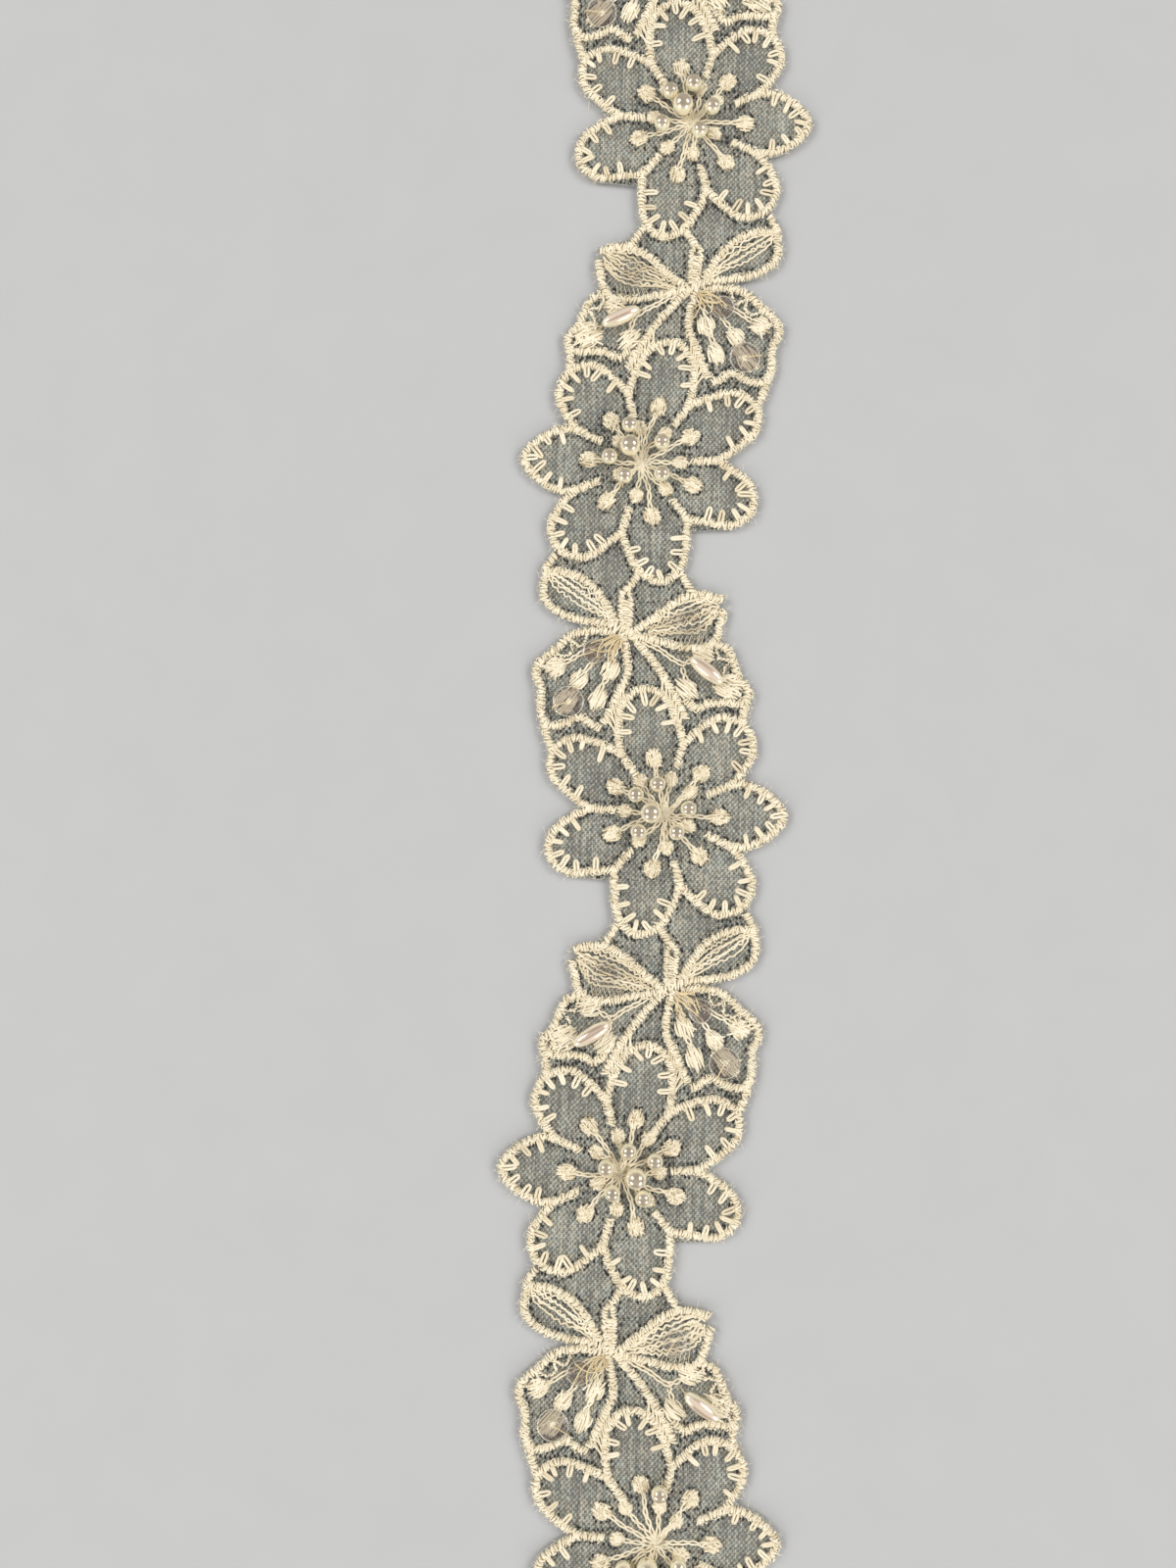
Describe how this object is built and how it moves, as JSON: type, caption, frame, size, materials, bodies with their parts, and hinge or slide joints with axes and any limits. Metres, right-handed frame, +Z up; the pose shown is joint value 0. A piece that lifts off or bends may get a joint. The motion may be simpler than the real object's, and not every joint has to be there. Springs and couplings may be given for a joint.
{
  "type": "beaded sequin edging",
  "caption": "Cut length of sheer organza edging embroidered in ivory cord with turned flower motifs, sewn with round pearls, rice pearls and clear sequins",
  "frame": {"origin": "under the middle of the strip's bounding box, on the flat back", "axes": "X across the strip, Y along its length, Z up from the back to the beaded face"},
  "size_m": [0.0484, 0.3036, 0.0048],
  "materials": {
    "embroidered_organza": "ivory thread on sheer organza",
    "pearl": "pearlised gloss",
    "rice_pearl": "pearlised gloss",
    "sequin": "clear film with a faint rainbow"
  },
  "bodies": {
    "root": {"embroidered_ground": "embroidered_organza", "pearl_1_1": "pearl", "pearl_1_2": "pearl", "pearl_1_3": "pearl", "pearl_1_4": "pearl", "pearl_1_5": "pearl", "pearl_1_6": "pearl", "pearl_2_1": "pearl", "pearl_2_2": "pearl", "pearl_2_3": "pearl", "pearl_2_4": "pearl", "pearl_2_5": "pearl", "pearl_2_6": "pearl", "pearl_3_1": "pearl", "pearl_3_2": "pearl", "pearl_3_3": "pearl", "pearl_3_4": "pearl", "pearl_3_5": "pearl", "pearl_3_6": "pearl", "pearl_4_1": "pearl", "pearl_4_2": "pearl", "pearl_4_3": "pearl", "pearl_4_4": "pearl", "pearl_4_5": "pearl", "pearl_4_6": "pearl", "pearl_5_1": "pearl", "pearl_5_2": "pearl", "pearl_5_3": "pearl", "pearl_5_4": "pearl", "pearl_5_5": "pearl", "pearl_5_6": "pearl", "rice_pearl_1": "rice_pearl", "rice_pearl_2": "rice_pearl", "rice_pearl_3": "rice_pearl", "rice_pearl_4": "rice_pearl", "rice_pearl_5": "rice_pearl", "sequin_1_1": "sequin", "sequin_1_2": "sequin", "sequin_1_3": "sequin", "sequin_2_1": "sequin", "sequin_2_2": "sequin", "sequin_2_3": "sequin", "sequin_3_1": "sequin", "sequin_3_2": "sequin", "sequin_3_3": "sequin", "sequin_4_1": "sequin", "sequin_4_2": "sequin", "sequin_4_3": "sequin", "sequin_5_1": "sequin", "sequin_5_2": "sequin", "sequin_5_3": "sequin"}
  },
  "joints": []
}
